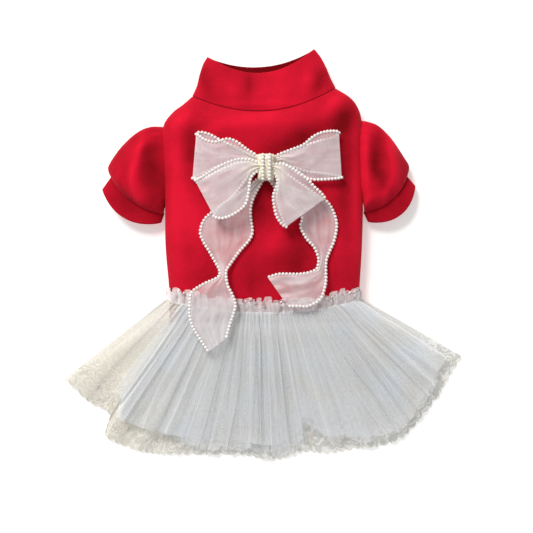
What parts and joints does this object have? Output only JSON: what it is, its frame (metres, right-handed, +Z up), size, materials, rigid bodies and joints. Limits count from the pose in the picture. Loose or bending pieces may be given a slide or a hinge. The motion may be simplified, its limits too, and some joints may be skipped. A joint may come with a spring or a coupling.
{
  "type": "dog dress",
  "caption": "Small dog's dress lying flat: red fleece bodice with stand collar and puff sleeves, sheer pearl-edged bow, gathered tulle and lace skirt.",
  "frame": {"origin": "on the flat belly side of the bodice, in the middle of its width, a little above half of its length", "axes": "+X toward the right sleeve as seen from above, +Y toward the collar, +Z up out of the surface that the dress lies on"},
  "size_m": [0.362, 0.371, 0.0552],
  "materials": {
    "red_fleece": "brushed red fleece with a soft nap, doubled at the collar and the cuffs",
    "organza": "sheer white ribbon with a faint satin streak along it",
    "pearl": "small glossy off-white beads",
    "tulle": "fine white net, gathered in several plies",
    "lace": "cream net with raised floral embroidery and a scalloped edge"
  },
  "bodies": {
    "root": {"bodice": "red_fleece", "collar": "red_fleece", "sleeve_left": "red_fleece", "sleeve_right": "red_fleece", "cuff_left": "red_fleece", "cuff_right": "red_fleece", "skirt_lace": "lace", "skirt_tulle": "tulle", "waist_ruffle": "tulle", "bow_knot": "organza", "bow_left_tail": "organza", "bow_right_tail": "organza", "bow_loop_upper_left": "organza", "bow_loop_lower_left": "organza", "bow_loop_upper_right": "organza", "bow_loop_lower_right": "organza", "pearls_upper_left_first": "pearl", "pearls_upper_left_second": "pearl", "pearls_lower_left_first": "pearl", "pearls_lower_left_second": "pearl", "pearls_upper_right_first": "pearl", "pearls_upper_right_second": "pearl", "pearls_lower_right_first": "pearl", "pearls_lower_right_second": "pearl", "pearls_left_tail_first": "pearl", "pearls_left_tail_second": "pearl", "pearls_right_tail_first": "pearl", "pearls_right_tail_second": "pearl", "pearls_knot_first": "pearl", "pearls_knot_second": "pearl"}
  },
  "joints": []
}
